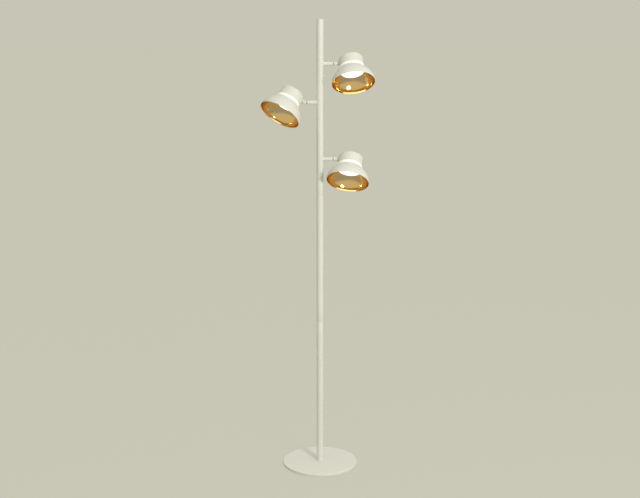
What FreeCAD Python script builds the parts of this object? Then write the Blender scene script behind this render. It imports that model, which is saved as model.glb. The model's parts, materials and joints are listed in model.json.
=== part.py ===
import FreeCAD, Part
import math
import os

# Floor lamp with a round base, a slim pole and three swivelling spot heads.
# Millimetres, +Z up. The origin is on the floor, on the pole's axis.
# +X points along the two right-hand arms, and the front of the lamp faces -Y.

Vector = FreeCAD.Vector
Rotation = FreeCAD.Rotation
Placement = FreeCAD.Placement
X_AXIS = Vector(1, 0, 0)
Y_AXIS = Vector(0, 1, 0)
Z_AXIS = Vector(0, 0, 1)
ORIGIN = Vector(0, 0, 0)

# ---- driving dimensions ----------------------------------------------------

# stand
overall_height = 1600.0
base_diameter = 270.0
base_thickness = 10.0
base_edge_radius = 2.5
base_lower_chamfer = 1.0
pad_thickness = 1.5
pad_margin = 6.0
pole_diameter = 24.0
pole_wall = 1.5
pole_section_joints = [540.0, 1068.0]
coupler_length = 70.0
coupler_bore = 13.0
coupler_relief_depth = 0.6
coupler_relief_length = 12.0
top_cap_thickness = 2.0
top_cap_plug_length = 12.0
top_cap_wall = 2.0

# foot of the pole, cable way and outlet under the base
foot_plug_length = 28.0
cable_hole_diameter = 9.0
foot_screw_count = 3
foot_screw_diameter = 4.0
foot_screw_circle = 15.4
foot_screw_length = 16.0
foot_screw_head_diameter = 7.6
foot_screw_head_height = 2.2
recess_diameter = 56.0
recess_depth = 5.5
channel_width = 9.0
outlet_bush_length = 14.0
outlet_bush_bore = 4.6
cable_diameter = 4.4
cable_bend_radius = 5.5
branch_diameter = 2.6

# arms
arm_diameter = 13.0
arm_bore = 8.0
arm_end_from_pole_axis = 44.0
arm_edge_chamfer = 0.6
boss_length = 11.0
boss_bore = 4.6
boss_inner_stand = 1.4

# knuckle: a fork that turns in the arm, and a tongue hinged in the fork
pivot_from_pole_axis = 53.5
shank_length = 13.0
shank_bore = 3.6
neck_diameter = 9.0
neck_length = 3.2
neck_gap = 0.3
fork_diameter = 13.0
fork_slot_width = 4.8
fork_web = 1.6
hinge_screw_diameter = 3.0
hinge_head_diameter = 5.4
hinge_head_height = 1.7
hinge_seat_depth = 1.9
washer_diameter = 8.4
washer_thickness = 0.5
tongue_eye_diameter = 8.4
tongue_foot_height = 18.0
tongue_foot_width = 10.0
tongue_foot_thickness = 2.2
tongue_rib_height = 11.0
tongue_screw_spacing = 11.0
tongue_screw_diameter = 3.0
tongue_screw_head_diameter = 5.2
tongue_screw_head_height = 1.6
tongue_screw_length = 6.5

# turning stop: a dog-point screw in a part-turn groove of the shank
stop_screw_diameter = 3.0
stop_tip_diameter = 1.6
stop_groove_depth = 1.0
stop_groove_width = 1.9
stop_from_arm_end = 6.0
swivel_half_range = 150.0

# spot head, about its own axis; height 0 is the middle of the bright ring
head_axis_from_pivot = 53.5
pivot_above_ring = 22.0
cap_diameter = 85.0
cap_top_diameter = 83.4
cap_top_height = 40.0
cap_edge_radius = 7.0
cap_wall = 1.6
cap_top_wall = 2.0
ring_height = 9.0
ring_wall = 3.9
ring_spigot_height = 3.0
ring_spigot_step = 1.7
neck_straight = 3.0
mouth_diameter = 149.0
mouth_depth = 60.0
bowl_wall = 1.3
dome_start_angle = 62.0
dome_start_handle = 16.0
dome_mouth_angle = 6.0
dome_mouth_handle = 22.0
reflector_wall = 0.8
reflector_gap = 0.3
reflector_rim_recess = 0.5
reflector_collar_diameter = 76.6

# lamp and its holder, a twist-lock pair with pins 53 mm apart
lamp_diameter = 74.8
lamp_face_depth = 15.0
lamp_back_height = 10.0
lamp_edge_radius = 3.0
lamp_hub_diameter = 34.0
lamp_hub_height = 3.0
lamp_flange_diameter = 82.0
lamp_flange_height = 4.0
lamp_pin_spacing = 53.0
lamp_pin_diameter = 3.2
lamp_pin_head_diameter = 5.0
lamp_pin_head_height = 1.8
lamp_pin_length = 6.2
lamp_cover_diameter = 79.6
lamp_cover_thickness = 2.5
lamp_cover_crown = 1.4
holder_diameter = 68.0
holder_bottom_height = 11.0
holder_top_height = 24.0
holder_hub_bore = 35.0
holder_hub_depth = 5.0
holder_front_plate = 3.0
holder_chamber_depth = 6.0
holder_slot_angle = 28.0
holder_screw_diameter = 3.0
holder_screw_head_diameter = 5.6
holder_screw_head_height = 1.8
holder_screw_circle = 52.0
holder_screw_grip = 6.0
standoff_diameter = 8.0
lead_diameter = 2.4
lead_bend_radius = 2.0
lead_run_height = 34.0
lead_entry_radius = 20.0

# clearances
fit = 0.05
running_fit = 0.06
hole_play = 0.15
thread_play = 0.05
contact = 0.02

# where each head is and how it is turned, in degrees:
# side of the pole, arm height, tilt of the mouth towards the front,
# and swing of the mouth away from the pole
HEADS = {
    "upper": {"side": 1, "height": 1450.0, "tilt": 34.3, "swing": 5.0},
    "middle": {"side": -1, "height": 1318.0, "tilt": 31.9, "swing": 27.6},
    "lower": {"side": 1, "height": 1121.5, "tilt": 35.7, "swing": -8.0},
}

# ---- sizes worked out from the driving ones ----------------------------------

base_bottom = pad_thickness
base_top = base_bottom + base_thickness
base_radius = base_diameter / 2
pole_radius = pole_diameter / 2
pole_bore_radius = pole_radius - pole_wall
pole_top = overall_height - top_cap_thickness
recess_ceiling = base_bottom + recess_depth
cable_height = base_bottom + recess_depth / 2
arm_radius = arm_diameter / 2
shank_radius = arm_bore / 2 - running_fit
neck_start = arm_end_from_pole_axis + neck_gap
fork_start = neck_start + neck_length
slot_start = fork_start + fork_web
cap_radius = cap_diameter / 2
ring_half = ring_height / 2
spigot_radius = cap_radius - ring_spigot_step
tongue_thickness = fork_slot_width - 2 * washer_thickness - 2 * contact
holder_screw_radius = holder_screw_circle / 2
lamp_pin_radius = lamp_pin_spacing / 2


# ---- helpers -------------------------------------------------------------------

def point(radius, height):
    """A point of a turned profile, in the XZ plane."""
    return Vector(radius, 0, height)


def line(start, end):
    return Part.makeLine(start, end)


def arc(start, middle, end):
    return Part.Arc(start, middle, end).toShape()


def turned(edges, angle=360.0):
    """Solid of revolution about Z of a closed chain of edges in the XZ plane."""
    face = Part.Face(Part.Wire(Part.__sortEdges__(edges)))
    return face.revolve(ORIGIN, Z_AXIS, angle)


def turned_polygon(corners):
    """Solid of revolution about Z of a polygon given as (radius, height) pairs."""
    points = [point(radius, height) for radius, height in corners]
    edges = [line(a, b) for a, b in zip(points, points[1:] + points[:1])]
    return turned(edges)


def rod(radius, length, start=ORIGIN, direction=Z_AXIS):
    return Part.makeCylinder(radius, length, start, direction)


def tube(outer_radius, inner_radius, length, start=ORIGIN, direction=Z_AXIS):
    return rod(outer_radius, length, start, direction).cut(rod(inner_radius, length, start, direction))


def block(size_x, size_y, size_z, centre):
    corner = centre - Vector(size_x / 2, size_y / 2, size_z / 2)
    return Part.makeBox(size_x, size_y, size_z, corner)


def hexagon(across_flats, height, start, direction):
    """Hexagonal prism with rounded-off corners, as a nut has."""
    corner_radius = across_flats / math.sqrt(3)
    corners = []
    for step in range(7):
        angle = math.radians(60 * step)
        corners.append(Vector(corner_radius * math.cos(angle), corner_radius * math.sin(angle), 0))
    prism = Part.Face(Part.makePolygon(corners)).extrude(Vector(0, 0, height))
    prism.Placement = Placement(start, Rotation(Z_AXIS, direction))
    return prism


def around_z(shape, count):
    """Copies of a shape spread evenly about Z."""
    copies = []
    for number in range(count):
        copy = shape.copy()
        copy.rotate(ORIGIN, Z_AXIS, 360.0 * number / count)
        copies.append(copy)
    return copies


def cable(points, radius, bend_radius):
    """Round cable along straight runs joined by tangent arcs of one radius."""
    edges = []
    run_start = points[0]
    for before, corner, after in zip(points, points[1:], points[2:]):
        inward = (before - corner).normalize()
        outward = (after - corner).normalize()
        half_turn = (math.pi - inward.getAngle(outward)) / 2
        setback = bend_radius * math.tan(half_turn)
        arc_start = corner + inward * setback
        arc_end = corner + outward * setback
        bisector = (inward + outward).normalize()
        arc_middle = corner + bisector * (bend_radius / math.cos(half_turn) - bend_radius)
        edges.append(line(run_start, arc_start))
        edges.append(arc(arc_start, arc_middle, arc_end))
        run_start = arc_end
    edges.append(line(run_start, points[-1]))
    direction = (points[1] - points[0]).normalize()
    profile = Part.Wire([Part.Circle(points[0], direction, radius).toShape()])
    return Part.Wire(edges).makePipeShell([profile], True, False)


# ---- stand ---------------------------------------------------------------------

def foot_screw_places():
    """Axes of the screws that hold the pole, as points at floor level."""
    first = Vector(foot_screw_circle / 2, 0, 0)
    first = Rotation(Z_AXIS, -90).multVec(first)
    return [Rotation(Z_AXIS, 360.0 * number / foot_screw_count).multVec(first)
            for number in range(foot_screw_count)]


def channel_shape(width, start_y, end_y, height):
    """Round-topped slot along Y, open at its underside."""
    radius = width / 2
    crown_height = base_bottom + height - radius
    crown = rod(radius, end_y - start_y, Vector(0, start_y, crown_height), Y_AXIS)
    upper_half = block(2 * width, end_y - start_y, width,
                       Vector(0, (start_y + end_y) / 2, crown_height + width / 2))
    crown = crown.common(upper_half)
    flat_middle = Vector(0, (start_y + end_y) / 2, (base_bottom + crown_height) / 2)
    flat = block(width, end_y - start_y, crown_height - base_bottom, flat_middle)
    return crown.fuse(flat).removeSplitter()


def base_plate():
    """Steel disc with a rounded top edge, a wiring recess and a cable channel below."""
    rounding = base_edge_radius
    diagonal = rounding * math.sqrt(0.5)
    centre_r = base_radius - rounding
    centre_z = base_top - rounding
    outline = [
        line(point(0, base_bottom), point(base_radius - base_lower_chamfer, base_bottom)),
        line(point(base_radius - base_lower_chamfer, base_bottom),
             point(base_radius, base_bottom + base_lower_chamfer)),
        line(point(base_radius, base_bottom + base_lower_chamfer), point(base_radius, centre_z)),
        arc(point(base_radius, centre_z), point(centre_r + diagonal, centre_z + diagonal),
            point(centre_r, base_top)),
        line(point(centre_r, base_top), point(0, base_top)),
        line(point(0, base_top), point(0, base_bottom)),
    ]
    plate = turned(outline)
    cuts = [
        rod(recess_diameter / 2, recess_depth, Vector(0, 0, base_bottom)),
        rod(cable_hole_diameter / 2, base_thickness, Vector(0, 0, base_bottom)),
        channel_shape(channel_width, 0, base_radius + 1, recess_depth),
    ]
    for place in foot_screw_places():
        hole_radius = foot_screw_diameter / 2 + hole_play
        head_radius = foot_screw_head_diameter / 2 + hole_play
        cuts.append(rod(hole_radius, base_thickness, place + Vector(0, 0, base_bottom)))
        cuts.append(Part.makeCone(head_radius, hole_radius, foot_screw_head_height,
                                  place + Vector(0, 0, recess_ceiling)))
    return plate.cut(cuts)


def base_pad():
    """Thin anti-slip disc stuck under the plate; it closes the recess."""
    return rod(base_radius - pad_margin, pad_thickness)


def outlet_bush():
    """Rubber bush in the channel's rear end, where a mains lead leaves the base."""
    outer_width = channel_width - 2 * fit
    start = base_radius - base_edge_radius - outlet_bush_length
    end = base_radius - base_edge_radius
    bush = channel_shape(outer_width, start, end, recess_depth - fit)
    axis_start = Vector(0, start, cable_height)
    return bush.cut(rod(outlet_bush_bore / 2, outlet_bush_length, axis_start, Y_AXIS))


def pole_section(bottom, top):
    return tube(pole_radius, pole_bore_radius, top - bottom, Vector(0, 0, bottom))


def upper_pole():
    """Top tube, drilled for the welded arm bosses."""
    section = pole_section(pole_section_joints[1], pole_top)
    hole_radius = arm_bore / 2
    for head in HEADS.values():
        direction = X_AXIS * head["side"]
        section = section.cut(rod(hole_radius, pole_diameter, Vector(0, 0, head["height"]), direction))
    return section


def pole_coupler(joint_height):
    """Threaded sleeve inside two sections, relieved in the middle."""
    outer = pole_bore_radius - fit
    bottom = joint_height - coupler_length / 2
    top = joint_height + coupler_length / 2
    relief_bottom = joint_height - coupler_relief_length / 2
    relief_top = joint_height + coupler_relief_length / 2
    bore = coupler_bore / 2
    return turned_polygon([
        (bore, bottom), (outer, bottom), (outer, relief_bottom),
        (outer - coupler_relief_depth, relief_bottom), (outer - coupler_relief_depth, relief_top),
        (outer, relief_top), (outer, top), (bore, top)])


def foot_plug():
    """Turned plug pressed in the pole's foot, bored for the cable and the screws."""
    plug = tube(pole_bore_radius - fit, cable_hole_diameter / 2, foot_plug_length, Vector(0, 0, base_top))
    for place in foot_screw_places():
        reach = recess_ceiling + foot_screw_length + 1 - base_top
        plug = plug.cut(rod(foot_screw_diameter / 2 + thread_play, reach, place + Vector(0, 0, base_top)))
    return plug


def foot_screw(place):
    """Countersunk screw from the recess up into the foot plug, with a hex socket."""
    bottom = place + Vector(0, 0, recess_ceiling)
    head = Part.makeCone(foot_screw_head_diameter / 2, foot_screw_diameter / 2, foot_screw_head_height, bottom)
    screw = head.fuse(rod(foot_screw_diameter / 2, foot_screw_length, bottom))
    socket = hexagon(foot_screw_diameter * 0.6, foot_screw_head_height * 0.7, bottom, Z_AXIS)
    return screw.cut(socket)


def pole_top_cap():
    """Flat cap with a hollow plug that closes the pole's end."""
    plug_radius = pole_bore_radius - fit
    cap = rod(pole_radius, top_cap_thickness, Vector(0, 0, pole_top))
    plug = tube(plug_radius, plug_radius - top_cap_wall, top_cap_plug_length,
                Vector(0, 0, pole_top - top_cap_plug_length))
    return cap.fuse(plug).removeSplitter()


def pole_wiring():
    """Mains cable from the outlet bush to the top arm, with a lead in each arm."""
    bush_end = base_radius - base_edge_radius - outlet_bush_length
    top_arm = max(head["height"] for head in HEADS.values())
    trunk = cable([Vector(0, bush_end, cable_height), Vector(0, 0, cable_height), Vector(0, 0, top_arm)],
                  cable_diameter / 2, cable_bend_radius)
    branches = []
    for head in HEADS.values():
        start = Vector(0, 0, head["height"])
        branches.append(rod(branch_diameter / 2, fork_start, start, X_AXIS * head["side"]))
    return trunk.fuse(branches).removeSplitter()


# ---- arm and knuckle, with the arm's axis along X and the pole's axis at X = 0 ---

def arm_boss():
    """Threaded bush welded in the pole wall, which the arm screws onto."""
    start = pole_bore_radius - boss_inner_stand
    boss = rod(arm_bore / 2 - fit, boss_length + boss_inner_stand, Vector(start, 0, 0), X_AXIS)
    return boss.cut(rod(boss_bore / 2, boss_length + 2 * boss_inner_stand, Vector(start, 0, 0), X_AXIS))


def arm_tube():
    """Short tube, coped to the pole at one end and chamfered at the knuckle."""
    body = rod(arm_radius, arm_end_from_pole_axis, ORIGIN, X_AXIS)
    chamfer_start = arm_end_from_pole_axis - arm_edge_chamfer
    rim = tube(arm_radius + 1, arm_radius - arm_edge_chamfer, arm_edge_chamfer,
               Vector(chamfer_start, 0, 0), X_AXIS)
    cone = Part.makeCone(arm_radius, arm_radius - arm_edge_chamfer, arm_edge_chamfer,
                         Vector(chamfer_start, 0, 0), X_AXIS)
    body = body.cut(rim.cut(cone))
    bore = rod(arm_bore / 2, arm_end_from_pole_axis, ORIGIN, X_AXIS)
    pole = rod(pole_radius, 4 * arm_diameter, Vector(0, 0, -2 * arm_diameter))
    stop_x = arm_end_from_pole_axis - stop_from_arm_end
    stop_hole = rod(stop_screw_diameter / 2 + thread_play, arm_diameter, Vector(stop_x, 0, 0), -Z_AXIS)
    return body.cut([bore, pole, stop_hole])


def stop_screw():
    """Dog-point grub screw under the arm, its tip in the shank's groove."""
    x = arm_end_from_pole_axis - stop_from_arm_end
    thread_end = arm_bore / 2 + contact
    body = rod(stop_screw_diameter / 2, arm_radius - thread_end - 0.3, Vector(x, 0, -thread_end), -Z_AXIS)
    groove_bottom = shank_radius - stop_groove_depth
    tip = rod(stop_tip_diameter / 2, thread_end - groove_bottom - 0.15,
              Vector(x, 0, -groove_bottom - 0.15), -Z_AXIS)
    return body.fuse(tip)


def swivel_fork():
    """Turned and slotted fork: shank in the arm, neck, and two rounded cheeks."""
    pivot = Vector(pivot_from_pole_axis, 0, 0)
    fork_radius = fork_diameter / 2
    shank = rod(shank_radius, shank_length + neck_gap,
                Vector(arm_end_from_pole_axis - shank_length, 0, 0), X_AXIS)
    neck = rod(neck_diameter / 2, neck_length, Vector(neck_start, 0, 0), X_AXIS)
    barrel = rod(fork_radius, pivot_from_pole_axis - fork_start + fork_radius,
                 Vector(fork_start, 0, 0), X_AXIS)
    square_part = block(pivot_from_pole_axis - fork_start, fork_diameter, fork_diameter,
                        Vector((fork_start + pivot_from_pole_axis) / 2, 0, 0))
    round_part = rod(fork_radius, fork_diameter, pivot - Y_AXIS * fork_radius, Y_AXIS)
    barrel = barrel.common(square_part.fuse(round_part))
    slot_length = pivot_from_pole_axis + fork_diameter - slot_start
    slot = block(slot_length, fork_slot_width, 2 * fork_diameter,
                 Vector(slot_start + slot_length / 2, 0, 0))
    bore_start = Vector(arm_end_from_pole_axis - shank_length, 0, 0)
    lead_bore = rod(shank_bore / 2, slot_start - bore_start.x, bore_start, X_AXIS)
    pin_hole = rod(hinge_screw_diameter / 2 + running_fit, 2 * fork_diameter,
                   pivot - Y_AXIS * fork_diameter, Y_AXIS)
    seat_radius = hinge_head_diameter / 2 + 0.2
    seat_start = fork_radius - hinge_seat_depth
    seats = [rod(seat_radius, fork_diameter, pivot + Y_AXIS * (sign * seat_start), Y_AXIS * sign)
             for sign in (-1, 1)]
    fork = shank.fuse([neck, barrel]).cut([slot, lead_bore, pin_hole] + seats)
    return fork.cut(stop_groove()).removeSplitter()


def stop_groove():
    """Part-turn groove whose closed ends meet the stop screw's tip."""
    outer = shank_radius + 1
    inner = shank_radius - stop_groove_depth
    tip_half_angle = math.degrees(math.asin(stop_tip_diameter / 2 / inner))
    half_sweep = swivel_half_range + tip_half_angle
    width = stop_groove_width
    section = [point(inner, -width / 2), point(outer, -width / 2), point(outer, width / 2),
               point(inner, width / 2)]
    edges = [line(a, b) for a, b in zip(section, section[1:] + section[:1])]
    groove = turned(edges, 2 * half_sweep)
    groove.rotate(ORIGIN, Z_AXIS, -half_sweep)
    # the groove's middle is turned to the arm's underside, where the screw is
    groove.Placement = Placement(Vector(arm_end_from_pole_axis - stop_from_arm_end, 0, 0),
                                 Rotation(Y_AXIS, 90)).multiply(groove.Placement)
    return groove


def hinge_screw():
    """Pan-head screw through the cheeks, and the hexagon nut on its far end."""
    pivot = Vector(pivot_from_pole_axis, 0, 0)
    seat = fork_diameter / 2 - hinge_seat_depth
    head_start = pivot - Y_AXIS * (seat + contact)
    head = rod(hinge_head_diameter / 2, hinge_head_height, head_start, -Y_AXIS)
    driver = hexagon(hinge_screw_diameter * 0.7, hinge_head_height * 0.6,
                     pivot - Y_AXIS * (seat + contact + hinge_head_height * 0.4), -Y_AXIS)
    shank_length_through = 2 * seat + contact + hinge_head_height
    shank = rod(hinge_screw_diameter / 2, shank_length_through, head_start, Y_AXIS)
    nut_start = pivot + Y_AXIS * (seat + contact)
    nut = hexagon(hinge_head_diameter * math.sqrt(0.75), hinge_head_height - 0.1, nut_start, Y_AXIS)
    nut = nut.cut(rod(hinge_screw_diameter / 2 + thread_play, hinge_head_height, nut_start, Y_AXIS))
    return Part.makeCompound([head.fuse(shank).cut(driver), nut])


def friction_washers():
    """Two thin washers, one each side of the tongue."""
    pivot = Vector(pivot_from_pole_axis, 0, 0)
    washers = []
    for sign in (-1, 1):
        start = pivot + Y_AXIS * (sign * fork_slot_width / 2)
        washers.append(tube(washer_diameter / 2, hinge_screw_diameter / 2 + hole_play, washer_thickness,
                            start, Y_AXIS * -sign))
    return Part.makeCompound(washers)


# ---- spot head, about Z, with height 0 at the middle of the bright ring ----------

def head_pivot():
    return Vector(-head_axis_from_pivot, 0, pivot_above_ring)


def cap_side_radius(height):
    """Outer radius of the cap's slightly tapered side at a height."""
    top = cap_top_height - cap_edge_radius
    share = (height - ring_half) / (top - ring_half)
    return cap_radius + share * (cap_top_diameter / 2 - cap_radius)


def cap_body(inset, top_inset, bottom):
    """Solid of the cap's outline, drawn in by a wall thickness."""
    corner = cap_edge_radius - inset
    side_top = cap_top_height - cap_edge_radius
    side_radius = cap_side_radius(side_top) - inset
    top = cap_top_height - top_inset
    shoulder = top - corner
    diagonal = corner * math.sqrt(0.5)
    middle = point(side_radius - corner + diagonal, shoulder + diagonal)
    bottom_radius = cap_side_radius(bottom) - inset
    return turned([
        line(point(0, bottom), point(bottom_radius, bottom)),
        line(point(bottom_radius, bottom), point(side_radius, shoulder)),
        arc(point(side_radius, shoulder), middle, point(side_radius - corner, top)),
        line(point(side_radius - corner, top), point(0, top)),
        line(point(0, top), point(0, bottom)),
    ])


def holder_screw_places():
    return [Vector(0, sign * holder_screw_radius, 0) for sign in (-1, 1)]


def tongue_screw_places():
    """Axes of the screws through the cap's wall, at the head's axis."""
    middle = Vector(0, 0, pivot_above_ring)
    return [middle + Z_AXIS * (sign * tongue_screw_spacing / 2) for sign in (-1, 1)]


def cap_housing():
    """Cup-shaped housing with two inner standoffs for the lamp holder."""
    shell = cap_body(0, 0, ring_half).cut(cap_body(cap_wall, cap_top_wall, ring_half))
    ceiling = cap_top_height - cap_top_wall
    parts = [rod(standoff_diameter / 2, ceiling + cap_top_wall / 2 - holder_top_height,
                 place + Z_AXIS * holder_top_height) for place in holder_screw_places()]
    shell = shell.fuse(parts)
    cuts = [rod(holder_screw_diameter / 2 + thread_play, holder_screw_grip + 1,
                place + Z_AXIS * holder_top_height) for place in holder_screw_places()]
    for place in tongue_screw_places():
        cuts.append(rod(tongue_screw_diameter / 2 + hole_play, cap_diameter, place, -X_AXIS))
    cuts.append(rod(lead_diameter / 2 + 2 * hole_play, cap_diameter, Z_AXIS * pivot_above_ring, -X_AXIS))
    return shell.cut(cuts).removeSplitter()


def hinge_tongue():
    """Flat tongue with a round eye, a tapering rib and a foot fitted to the cap's side."""
    pivot = head_pivot()
    half = tongue_thickness / 2
    wall_x = -cap_side_radius(pivot_above_ring)
    eye = rod(tongue_eye_diameter / 2, tongue_thickness, pivot - Y_AXIS * half, Y_AXIS)
    foot_x = wall_x - tongue_foot_thickness
    rib_corners = [
        Vector(pivot.x, -half, pivot.z - tongue_eye_diameter / 2),
        Vector(foot_x, -half, pivot.z - tongue_rib_height / 2),
        Vector(wall_x + 1, -half, pivot.z - tongue_rib_height / 2),
        Vector(wall_x + 1, -half, pivot.z + tongue_rib_height / 2),
        Vector(foot_x, -half, pivot.z + tongue_rib_height / 2),
        Vector(pivot.x, -half, pivot.z + tongue_eye_diameter / 2),
    ]
    rib = Part.Face(Part.makePolygon(rib_corners + rib_corners[:1])).extrude(Y_AXIS * tongue_thickness)
    foot = block(tongue_foot_thickness + 1, tongue_foot_width, tongue_foot_height,
                 Vector(wall_x + (1 - tongue_foot_thickness) / 2, 0, pivot.z))
    long_edges = [edge for edge in foot.Edges if abs(edge.tangentAt(edge.FirstParameter).x) > 0.9]
    foot = foot.makeFillet(tongue_foot_width / 4, long_edges)
    tongue = eye.fuse([rib, foot])
    cuts = [cap_body(-contact, -contact, ring_half),
            rod(hinge_screw_diameter / 2 + running_fit, 2 * tongue_thickness,
                pivot - Y_AXIS * tongue_thickness, Y_AXIS)]
    for place in tongue_screw_places():
        hole_start = Vector(wall_x + 1, 0, place.z)
        cuts.append(rod(tongue_screw_diameter / 2 + thread_play, tongue_screw_length, hole_start, -X_AXIS))
    cuts.append(rod(lead_diameter / 2 + hole_play, tongue_foot_thickness + 3,
                    Vector(wall_x + 1, 0, pivot.z), -X_AXIS))
    return tongue.cut(cuts).removeSplitter()


def tongue_screw(place):
    """Pan-head screw from inside the cap into the tongue's foot."""
    seat_x = -(cap_side_radius(place.z + tongue_screw_head_diameter / 2) - cap_wall) * math.cos(
        math.asin(tongue_screw_head_diameter / 2 / (cap_radius - cap_wall)))
    start = Vector(seat_x + contact, 0, place.z)
    head = rod(tongue_screw_head_diameter / 2, tongue_screw_head_height, start, X_AXIS)
    shank = rod(tongue_screw_diameter / 2, tongue_screw_length, start + X_AXIS * contact, -X_AXIS)
    return head.fuse(shank)


def bright_ring():
    """Frosted acrylic ring with a spigot up into the cap and one down into the bowl."""
    inner = cap_radius - ring_wall
    spigot = spigot_radius - fit
    reach = ring_half + ring_spigot_height
    return turned_polygon([
        (inner, -reach), (spigot, -reach), (spigot, -ring_half), (cap_radius, -ring_half),
        (cap_radius, ring_half), (spigot, ring_half), (spigot, reach), (inner, reach)])


def dome_curve(inset, rim_recess=0.0):
    """Profile of the bowl from neck to mouth, drawn in by an inset.

    One cubic curve: it leaves the neck at a shallow slope and reaches the mouth
    almost upright, with both handles a little shorter as the inset grows.
    """
    start_angle = math.radians(dome_start_angle)
    mouth_angle = math.radians(dome_mouth_angle)
    leave = Vector(math.sin(start_angle), 0, -math.cos(start_angle))
    arrive = Vector(math.sin(mouth_angle), 0, -math.cos(mouth_angle))
    start = point(cap_radius, -ring_half - neck_straight) + Vector(leave.z, 0, -leave.x) * inset
    end = point(mouth_diameter / 2 - inset, -mouth_depth + rim_recess)
    curve = Part.BezierCurve()
    curve.setPoles([start, start + leave * (dome_start_handle - inset / 2),
                    end - arrive * (dome_mouth_handle - inset / 2), end])
    return curve.toShape(), start, end


def outer_bowl():
    """Spun bowl: straight neck over the ring's spigot, then the domed wall."""
    outer, outer_start, outer_end = dome_curve(0)
    inner, inner_start, inner_end = dome_curve(bowl_wall)
    neck_inner = point(spigot_radius, inner_start.z)
    neck_top_inner = point(spigot_radius, -ring_half)
    neck_top_outer = point(cap_radius, -ring_half)
    return turned([
        outer, line(outer_end, inner_end), inner, line(inner_start, neck_inner),
        line(neck_inner, neck_top_inner), line(neck_top_inner, neck_top_outer),
        line(neck_top_outer, outer_start)])


def reflector():
    """Polished liner that follows the bowl's inside, with a flat collar round the lamp."""
    outer_inset = bowl_wall + reflector_gap
    outer, outer_start, outer_end = dome_curve(outer_inset, reflector_rim_recess)
    inner, inner_start, inner_end = dome_curve(outer_inset + reflector_wall, reflector_rim_recess)
    collar = reflector_collar_diameter / 2
    collar_top = point(collar, outer_start.z)
    collar_bottom = point(collar, inner_start.z)
    return turned([
        outer, line(outer_end, inner_end), inner, line(inner_start, collar_bottom),
        line(collar_bottom, collar_top), line(collar_top, outer_start)])


def lamp_body():
    """Flat round lamp: wide front rim, rounded back edge, hub and two mushroom pins."""
    radius = lamp_diameter / 2
    flange = lamp_flange_diameter / 2
    flange_top = lamp_flange_height - lamp_face_depth
    cover_seat = -lamp_face_depth + lamp_cover_thickness
    cover_radius = lamp_cover_diameter / 2 + fit
    rounding = lamp_edge_radius
    diagonal = rounding * math.sqrt(0.5)
    hub = lamp_hub_diameter / 2
    hub_top = lamp_back_height + lamp_hub_height
    face = -lamp_face_depth
    body = turned([
        line(point(0, cover_seat), point(cover_radius, cover_seat)),
        line(point(cover_radius, cover_seat), point(cover_radius, face)),
        line(point(cover_radius, face), point(flange - 1, face)),
        line(point(flange - 1, face), point(flange, face + 1)),
        line(point(flange, face + 1), point(flange, flange_top)),
        line(point(flange, flange_top), point(radius, flange_top)),
        line(point(radius, flange_top), point(radius, lamp_back_height - rounding)),
        arc(point(radius, lamp_back_height - rounding),
            point(radius - rounding + diagonal, lamp_back_height - rounding + diagonal),
            point(radius - rounding, lamp_back_height)),
        line(point(radius - rounding, lamp_back_height), point(hub, lamp_back_height)),
        line(point(hub, lamp_back_height), point(hub, hub_top)),
        line(point(hub, hub_top), point(0, hub_top)),
        line(point(0, hub_top), point(0, cover_seat)),
    ])
    pins = []
    for sign in (-1, 1):
        foot = Vector(sign * lamp_pin_radius, 0, lamp_back_height)
        pins.append(rod(lamp_pin_diameter / 2, lamp_pin_length, foot))
        pins.append(rod(lamp_pin_head_diameter / 2, lamp_pin_head_height,
                        foot + Z_AXIS * (lamp_pin_length - lamp_pin_head_height)))
    return body.fuse(pins)


def lamp_cover():
    """Frosted light cover with a slight crown."""
    radius = lamp_cover_diameter / 2
    seat = -lamp_face_depth + lamp_cover_thickness - contact
    rim = -lamp_face_depth
    crown = rim - lamp_cover_crown
    crown_radius = (radius ** 2 + lamp_cover_crown ** 2) / (2 * lamp_cover_crown)
    half = radius / 2
    half_depth = math.sqrt(crown_radius ** 2 - half ** 2) - (crown_radius - lamp_cover_crown)
    return turned([
        line(point(0, seat), point(radius, seat)),
        line(point(radius, seat), point(radius, rim)),
        arc(point(radius, rim), point(half, rim - half_depth), point(0, crown)),
        line(point(0, crown), point(0, seat)),
    ])


def slot_arc(width, bottom, depth):
    """Curved slot with round ends that a lamp pin follows when the lamp is twisted home."""
    def at(radius, degrees, along=0.0):
        angle = math.radians(degrees)
        outward = Vector(math.cos(angle), math.sin(angle), 0)
        tangent = Vector(-math.sin(angle), math.cos(angle), 0)
        return outward * radius + tangent * along + Z_AXIS * bottom

    half = width / 2
    inner = lamp_pin_radius - half
    outer = lamp_pin_radius + half
    end = holder_slot_angle
    outline = Part.Wire([
        arc(at(outer, 0), at(outer, end / 2), at(outer, end)),
        arc(at(outer, end), at(lamp_pin_radius, end, half), at(inner, end)),
        arc(at(inner, end), at(inner, end / 2), at(inner, 0)),
        arc(at(inner, 0), at(lamp_pin_radius, 0, -half), at(outer, 0)),
    ])
    return Part.Face(outline).extrude(Z_AXIS * depth)


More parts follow.
